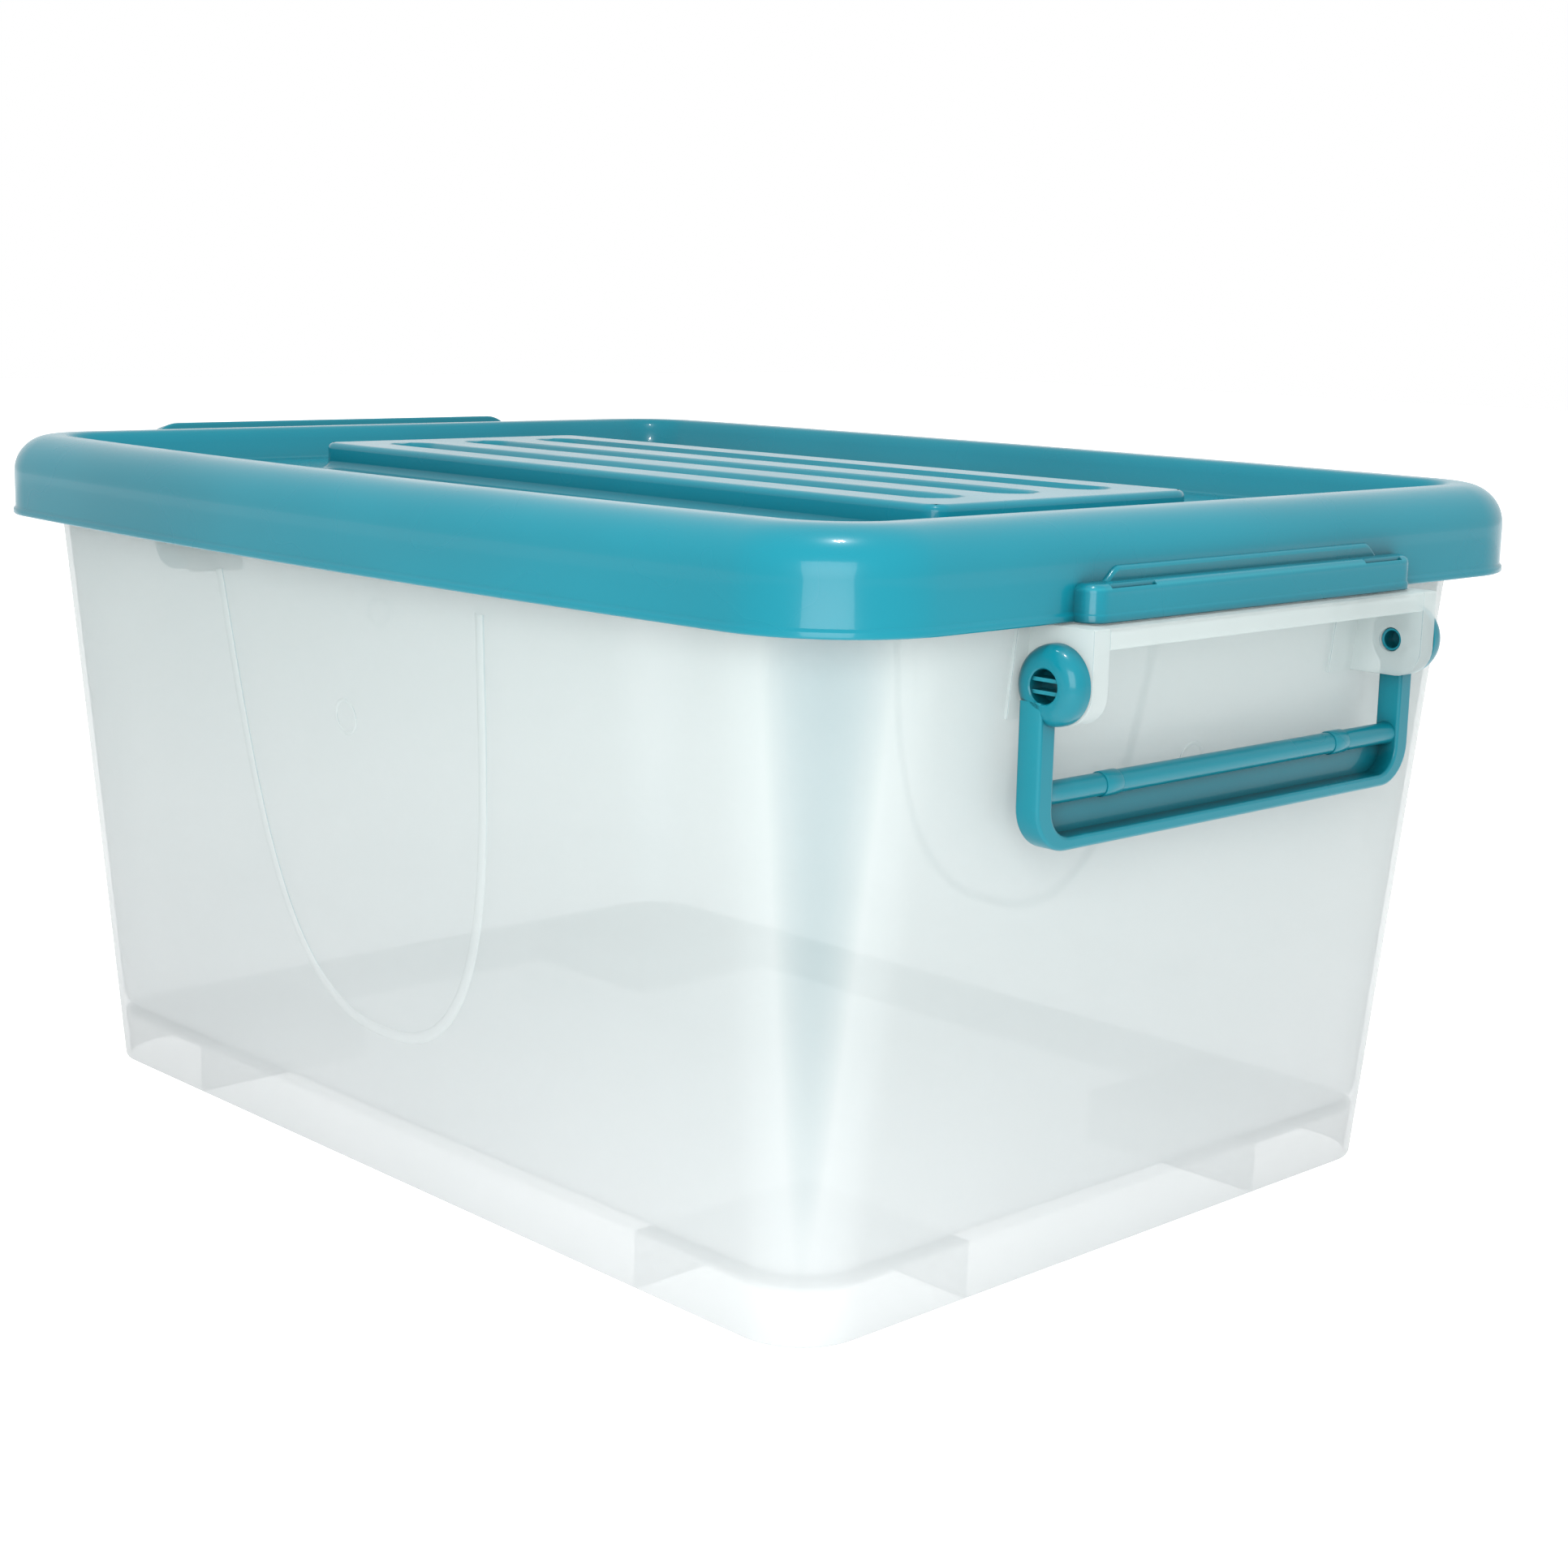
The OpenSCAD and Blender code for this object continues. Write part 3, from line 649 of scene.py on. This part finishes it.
def lug_skin(bm, end):
    """The lug's outer face: a small lip at its foot, then a soft top edge with two notches in it."""
    lip, round_r = 0.5 * MM, 3.2 * MM
    rings = [lug_ring(lip - 0.4 * MM, EDGE_Z, end), lug_ring(lip, EDGE_Z + 0.4 * MM, end),
             lug_ring(lip, EDGE_Z + 2.6 * MM, end), lug_ring(lip * 0.5, EDGE_Z + 3.1 * MM, end),
             lug_ring(0, EDGE_Z + 3.6 * MM, end)]
    steps = corner_steps(round_r, 8)
    notch_inset = round_r - math.sqrt(round_r ** 2 - (round_r - NOTCH_D) ** 2)
    rings += [lug_ring(-inset, LUG_TOP - drop, end) for inset, drop in steps if drop > NOTCH_D]
    rings += [lug_ring(-notch_inset, LUG_TOP - NOTCH_D, end, cut) for cut in (False, True)]
    rings += [lug_ring(-inset, LUG_TOP - drop, end, True) for inset, drop in steps if drop < NOTCH_D]
    rows = add_skin(bm, rings)
    bm.faces.new(rows[-1])


def lug_ridge(bm, end):
    """The long ridge on a lug that stops the raised handle, fading out at both ends."""
    soft, fade, root = 1.8 * MM, 9 * MM, 1 * MM
    low = LUG_TOP - 0.2 * MM
    back = LID_L / 2 - 1.5 * MM
    spin = end_matrix(end)
    stations = [-RIDGE_W / 2 + RIDGE_W * i / 120 for i in range(121)]
    rows = []
    for y in stations:
        t = min(1, (RIDGE_W / 2 - abs(y)) / fade)
        top = low + (RIDGE_TOP - low) * ease(t)
        section = [(RIDGE_X, LUG_TOP - root), (RIDGE_X, max(top - soft, LUG_TOP - root))]
        section += [(RIDGE_X - inset, max(top - drop, LUG_TOP - root))
                    for inset, drop in corner_steps(soft, 6)]
        section += [(back, top), (back, LUG_TOP - root)]
        rows.append([bm.verts.new(spin @ Vector((x, y, z))) for x, z in section])
    for a, b in zip(rows, rows[1:]):
        for k in range(len(a) - 1):
            bm.faces.new((a[k], b[k], b[k + 1], a[k + 1]))
    bm.faces.new(rows[0])
    bm.faces.new(list(reversed(rows[-1])))


def lid_lugs(bm):
    """The latch lugs, hollow below, and the long ridge on each."""
    for end in (0, 1):
        lug_skin(bm, end)
        inner = [lug_ring(0.1 * MM, EDGE_Z, end), lug_ring(-LID_WALL, EDGE_Z, end),
                 lug_ring(-LID_WALL, LUG_TOP - LID_WALL, end)]
        rows = add_skin(bm, inner)
        bm.faces.new(rows[-1])
        lug_ridge(bm, end)


def build_lid():
    bm = bmesh.new()
    lid_shell(bm)
    lid_lugs(bm)
    return finish_mesh("lid_moulding", bm, "lid", LID_TEAL, 38, ("lid",))


# ---------- Handles, drawn about the pivot with the grip hanging down ----------

def frame_curve(inset, corner, low):
    """The inner or outer line of the frame in Y and Z, open at the top."""
    half = HANDLE_W / 2 - inset
    pts = arc_points(-half + corner, low + corner, corner, 180, 12)
    pts += arc_points(half - corner, low + corner, corner, -90, 12)
    return pts


def end_face(x):
    """Turns an outline drawn flat into one in Y and Z, at a distance along X."""
    return Matrix(((0, 0, 1, x), (1, 0, 0, 0), (0, 1, 0, 0), (0, 0, 0, 1)))


def handle_frame(bm, place):
    """Arms and bottom lip in one plate, rounded over at its edges."""
    outer = frame_curve(0, 17 * MM, -HANDLE_REACH)
    inner = frame_curve(ARM_W, 11 * MM, -HANDLE_REACH + 5 * MM)
    top = -6 * MM
    outline = [(-HANDLE_W / 2, top)] + outer + [(HANDLE_W / 2, top), (HANDLE_W / 2 - ARM_W, top)]
    outline += list(reversed(inner)) + [(-HANDLE_W / 2 + ARM_W, top)]
    plate(bm, [outline], ARM_T, place @ end_face(-ARM_T / 2), 1.3 * MM)


def handle_web(bm, place):
    """The thin web at the back of the grip, between the rod and the lip."""
    outline = frame_curve(3 * MM, 15 * MM, -HANDLE_REACH + 2 * MM)
    top = -ROD_REACH + 0.5 * MM
    outline = [(-HANDLE_W / 2 + 3 * MM, top)] + outline + [(HANDLE_W / 2 - 3 * MM, top)]
    web_t = 2.5 * MM
    plate(bm, [outline], web_t, place @ end_face(-ARM_T + web_t / 2 + 0.1 * MM), 0.3 * MM)


def handle_rod(bm, place):
    """The round grip rod, swelling into the arms, its two collars and the strip behind it."""
    reach = HANDLE_W / 2 - ARM_W + 2 * MM
    flare, swell = 7 * MM, 0.9 * MM
    strip_t, collar_y = 2.4 * MM, 72.5 * MM

    def radius(t):
        gap = (0.5 - abs(t - 0.5)) * 2 * reach
        k = max(0, 1 - gap / flare)
        return ROD_R + swell * k * k

    path = [tuple(place @ Vector((ROD_X, -reach + 2 * reach * i / 80, -ROD_REACH))) for i in range(81)]
    swept_tube(bm, path, radius, 28)
    back = -ARM_T + 0.2 * MM
    made = bmesh.ops.create_cube(bm, size=1)
    for v in made["verts"]:
        v.co = place @ Vector((back + (ROD_X - back) * (v.co.x + 0.5), 2 * reach * v.co.y,
                               strip_t * v.co.z - ROD_REACH))
    for s in (-1, 1):
        half, r, soft = 4.75 * MM, COLLAR_R, 0.4 * MM
        profile = [(r - 1.2 * MM, -half), (r - soft, -half), (r - soft * 0.3, -half + soft * 0.3),
                   (r, -half + soft), (r, half - soft), (r - soft * 0.3, half - soft * 0.3),
                   (r - soft, half), (r - 1.2 * MM, half)]
        turn = Matrix.Translation((ROD_X, s * collar_y, -ROD_REACH)) @ Matrix.Rotation(math.pi / 2, 4, "X")
        lathe(bm, profile, place @ turn, 40)


def handle_boss(bm, place, s):
    """Round domed boss, its coring hole with two ribs, and the hollow-ended pin."""
    soft, bore_r, bore_depth = 6.5 * MM, 6.4 * MM, 7 * MM
    pin_end, core_r = -EAR_GAP - EAR_T + 1 * MM, 3.6 * MM
    profile = [(core_r - 0.3 * MM, pin_end + 6 * MM), (core_r, pin_end + 0.3 * MM),
               (core_r + 0.3 * MM, pin_end), (PIN_R - 0.4 * MM, pin_end), (PIN_R, pin_end + 0.4 * MM),
               (PIN_R, 0), (BOSS_R - 0.4 * MM, 0), (BOSS_R, 0.4 * MM), (BOSS_R, BOSS_T - soft)]
    profile += [(BOSS_R - soft + soft * math.cos(a), BOSS_T - soft + soft * math.sin(a))
                for a in [math.radians(v) for v in (15, 30, 45, 60, 75, 90)]]
    profile += [(bore_r + 0.5 * MM, BOSS_T), (bore_r, BOSS_T - 0.5 * MM), (bore_r, BOSS_T - bore_depth)]
    turn = Matrix.Translation((0, s * (EAR_OUT + EAR_GAP), 0)) @ Matrix.Rotation(-s * math.pi / 2, 4, "X")
    lathe(bm, profile, place @ turn, 72)
    for side in (-1, 1):
        rib_t, rib_gap = 1.4 * MM, 4.6 * MM
        made = bmesh.ops.create_cube(bm, size=1)
        chord = 2 * math.sqrt(bore_r ** 2 - (rib_gap / 2) ** 2) + 0.3 * MM
        for v in made["verts"]:
            y = s * (EAR_OUT + EAR_GAP + BOSS_T - 1.5 * MM - (bore_depth - 1.2 * MM) * (v.co.y + 0.5))
            v.co = place @ Vector((chord * v.co.x, y, side * rib_gap / 2 + rib_t * v.co.z))


def build_handle(name, body, place):
    bm = bmesh.new()
    handle_frame(bm, place)
    handle_web(bm, place)
    handle_rod(bm, place)
    for s in (-1, 1):
        handle_boss(bm, place, s)
    return finish_mesh(name, bm, body, HANDLE_TEAL, 40, (body,))


# ---------- Build ----------

build_tub()
build_lid()
at_pivot = Matrix.Translation((PIVOT_X, 0, PIVOT_Z))
build_handle("front_handle_moulding", "front_handle", at_pivot)
lean = Matrix.Rotation(math.radians(-180 + REAR_LEAN), 4, "Y")
build_handle("rear_handle_moulding", "rear_handle", end_matrix(1) @ at_pivot @ lean)


# ---------- Floor, light and camera ----------

def studio_floor():
    """A white floor: what the lamps leave short of white is made up for the camera alone."""
    bm = bmesh.new()
    half = 8.0
    rows = [[bm.verts.new((x, y, 0)) for y in (-half, half)] for x in (-half, half)]
    bm.faces.new((rows[0][0], rows[1][0], rows[1][1], rows[0][1]))
    mesh = bpy.data.meshes.new("floor")
    bm.to_mesh(mesh)
    bm.free()
    floor = bpy.data.objects.new("floor", mesh)
    bpy.context.scene.collection.objects.link(floor)
    n = Nodes("studio_floor")
    n.join(n.blend(n.noise(3, 2), (0.92, 0.92, 0.92), (0.94, 0.94, 0.94)), n.shader.inputs["Base Color"])
    n.shader.inputs["Roughness"].default_value = 0.9
    n.shader.inputs["Specular IOR Level"].default_value = 0.1
    path = n.add("ShaderNodeLightPath")
    seen = n.add("ShaderNodeMath", operation="MAXIMUM")
    n.join(path.outputs["Is Camera Ray"], seen.inputs[0])
    n.join(path.outputs["Is Glossy Ray"], seen.inputs[1])
    seen_too = n.add("ShaderNodeMath", operation="MAXIMUM")
    n.join(seen.outputs[0], seen_too.inputs[0])
    n.join(path.outputs["Is Transmission Ray"], seen_too.inputs[1])
    n.shader.inputs["Emission Color"].default_value = (1, 1, 1, 1)
    n.join(n.span(seen_too.outputs[0], 0, 1, 0, 0.8), n.shader.inputs["Emission Strength"])
    mesh.materials.append(n.material)
    floor.location.z = -0.0005


def area_light(name, place, aim, size, power, colour=(1, 1, 1)):
    data = bpy.data.lights.new(name, "AREA")
    data.shape = "RECTANGLE"
    data.size, data.size_y = size
    data.energy = power
    data.color = colour
    lamp = bpy.data.objects.new(name, data)
    lamp.location = place
    lamp.rotation_euler = (Vector(aim) - Vector(place)).to_track_quat("-Z", "Y").to_euler()
    bpy.context.scene.collection.objects.link(lamp)


def studio_world():
    """A soft white room: plain white to the camera, to gloss and to glass, dimmer as a lamp."""
    world = bpy.data.worlds.new("studio")
    world.use_nodes = True
    tree = world.node_tree
    light = tree.nodes["Background"]
    light.inputs["Color"].default_value = (1, 1, 1, 1)
    light.inputs["Strength"].default_value = 0.62
    seen = tree.nodes.new("ShaderNodeBackground")
    seen.inputs["Color"].default_value = (1, 1, 1, 1)
    seen.inputs["Strength"].default_value = 1.0
    path = tree.nodes.new("ShaderNodeLightPath")
    last = path.outputs["Is Camera Ray"]
    for name in ("Is Glossy Ray", "Is Transmission Ray"):
        either = tree.nodes.new("ShaderNodeMath")
        either.operation = "MAXIMUM"
        tree.links.new(last, either.inputs[0])
        tree.links.new(path.outputs[name], either.inputs[1])
        last = either.outputs[0]
    mix = tree.nodes.new("ShaderNodeMixShader")
    tree.links.new(last, mix.inputs["Fac"])
    tree.links.new(light.outputs["Background"], mix.inputs[1])
    tree.links.new(seen.outputs["Background"], mix.inputs[2])
    tree.links.new(mix.outputs["Shader"], tree.nodes["World Output"].inputs["Surface"])
    bpy.context.scene.world = world


def photo_camera():
    """The camera that a fit to the box's own edges gave."""
    azimuth, elevation, roll = math.radians(46.351), math.radians(10.995), math.radians(1.265)
    target = Vector((0.00157, 0.04308, 0.150))
    distance = 1.24087
    back = Vector((math.sin(azimuth) * math.cos(elevation), -math.cos(azimuth) * math.cos(elevation),
                   math.sin(elevation)))
    right = (-back).cross(Vector((0, 0, 1))).normalized()
    up = right.cross(-back)
    right_rolled = right * math.cos(roll) + up * math.sin(roll)
    up_rolled = -right * math.sin(roll) + up * math.cos(roll)
    data = bpy.data.cameras.new("photo_camera")
    data.sensor_width = 36
    data.lens = 3134.45 / 1932 * 36
    data.clip_start, data.clip_end = 0.01, 50
    camera = bpy.data.objects.new("photo_camera", data)
    turn = Matrix((right_rolled, up_rolled, back)).transposed().to_4x4()
    camera.matrix_world = Matrix.Translation(target + back * distance) @ turn
    bpy.context.scene.collection.objects.link(camera)
    bpy.context.scene.camera = camera


studio_floor()
studio_world()
area_light("key", (0.84, -0.80, 0.50), (0.12, -0.08, 0.16), (0.6, 0.6), 5.2)
area_light("spot_top", (0.36, -0.22, 1.15), (0.27, -0.18, 0.3), (0.07, 0.07), 3.0)
photo_camera()
bpy.context.scene.view_settings.view_transform = "Standard"
